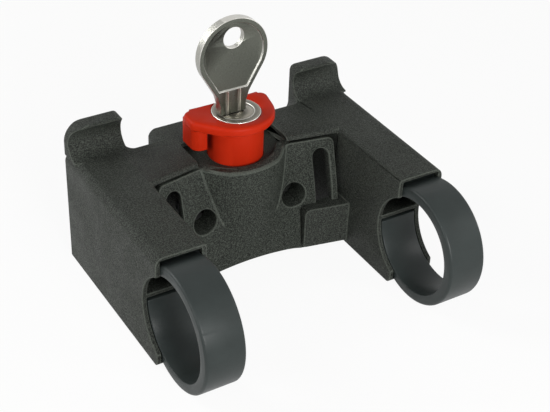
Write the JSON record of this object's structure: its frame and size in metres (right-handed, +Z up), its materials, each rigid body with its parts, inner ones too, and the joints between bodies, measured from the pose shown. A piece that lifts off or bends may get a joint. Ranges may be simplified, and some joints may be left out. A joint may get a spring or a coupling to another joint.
{
  "type": "bicycle handlebar bag mount",
  "caption": "Handlebar bag mount: hollow arms with round bar clamps, a hooked rear edge for the bag and a key-locked red push button that draws back a sprung latch.",
  "frame": {"origin": "on the axis of the handlebar bore, midway between the two arms", "axes": "+X along the handlebar to the rider's right, +Y from the rider towards the bag, +Z up"},
  "size_m": [0.099, 0.0922, 0.0841],
  "materials": {
    "frame_plastic": "fine grained black moulded plastic",
    "housing_plastic": "coarser grained charcoal moulded plastic",
    "inner_plastic": "plain moulded plastic inside",
    "band_plastic": "satin black moulded plastic",
    "button_plastic": "satin red moulded plastic",
    "lock_metal": "satin nickel plated die casting",
    "key_metal": "nickel plated brass, satin",
    "wafer_brass": "plain stamped brass",
    "spring_steel": "drawn spring wire",
    "screw_steel": "zinc plated steel"
  },
  "bodies": {
    "frame": {"main_frame": "frame_plastic", "lock_housing": "housing_plastic", "latch_guide": "inner_plastic", "housing_screws": "screw_steel", "guide_screws": "screw_steel", "button_spring": "spring_steel"},
    "button": {"release_button": "button_plastic", "lock_cylinder": "lock_metal"},
    "plug": {"lock_plug": "lock_metal", "lock_wafers": "wafer_brass", "lock_cam": "lock_metal", "cam_screw": "screw_steel"},
    "key": {"key": "key_metal"},
    "latch": {"latch": "inner_plastic"},
    "band_left": {"clamp_strap_left": "band_plastic", "clamp_nut_left": "screw_steel"},
    "washer_left": {"clamp_washer_left": "screw_steel"},
    "bolt_left": {"clamp_bolt_left": "screw_steel"},
    "band_right": {"clamp_strap_right": "band_plastic", "clamp_nut_right": "screw_steel"},
    "washer_right": {"clamp_washer_right": "screw_steel"},
    "bolt_right": {"clamp_bolt_right": "screw_steel"}
  },
  "joints": [
    {"name": "button_press", "type": "slide", "parent": "frame", "child": "button", "axis": [0, 0, -1], "range_m": [0, 0.004], "stiffness_N_per_m": 600, "springref_m": -0.004, "deforming": ["button_spring"]},
    {"name": "latch_slide", "type": "slide", "parent": "frame", "child": "latch", "axis": [0, -1, 0], "range_m": [0, 0.004]},
    {"name": "lock_turn", "type": "hinge", "parent": "button", "child": "plug", "pos_m": [0, 0.0495, 0.022], "axis": [0, 0, -1], "range_deg": [0, 90]},
    {"name": "key_withdraw", "type": "slide", "parent": "plug", "child": "key", "axis": [0, 0, 1], "range_m": [0, 0.022]},
    {"name": "band_left_open", "type": "hinge", "parent": "frame", "child": "band_left", "pos_m": [-0.04135, 0.00937, 0.0156], "axis": [-1, 0, 0], "range_deg": [0, 18]},
    {"name": "bolt_left_withdraw", "type": "slide", "parent": "frame", "child": "washer_left", "axis": [0, 1, 0], "range_m": [0, 0.0255]},
    {"name": "bolt_left_turn", "type": "hinge", "parent": "washer_left", "child": "bolt_left", "pos_m": [-0.04135, 0.04, -0.0062], "axis": [0, 1, 0], "continuous": true},
    {"name": "band_right_open", "type": "hinge", "parent": "frame", "child": "band_right", "pos_m": [0.04135, 0.00937, 0.0156], "axis": [-1, 0, 0], "range_deg": [0, 18]},
    {"name": "bolt_right_withdraw", "type": "slide", "parent": "frame", "child": "washer_right", "axis": [0, 1, 0], "range_m": [0, 0.0255]},
    {"name": "bolt_right_turn", "type": "hinge", "parent": "washer_right", "child": "bolt_right", "pos_m": [0.04135, 0.04, -0.0062], "axis": [0, 1, 0], "continuous": true}
  ],
  "couplings": [
    {"joint": "latch_slide", "follows": "button_press", "ratio": 1},
    {"joint": "bolt_left_withdraw", "follows": "band_left_open", "m_per_rad": 0.0802},
    {"joint": "bolt_right_withdraw", "follows": "band_right_open", "m_per_rad": 0.0802}
  ]
}
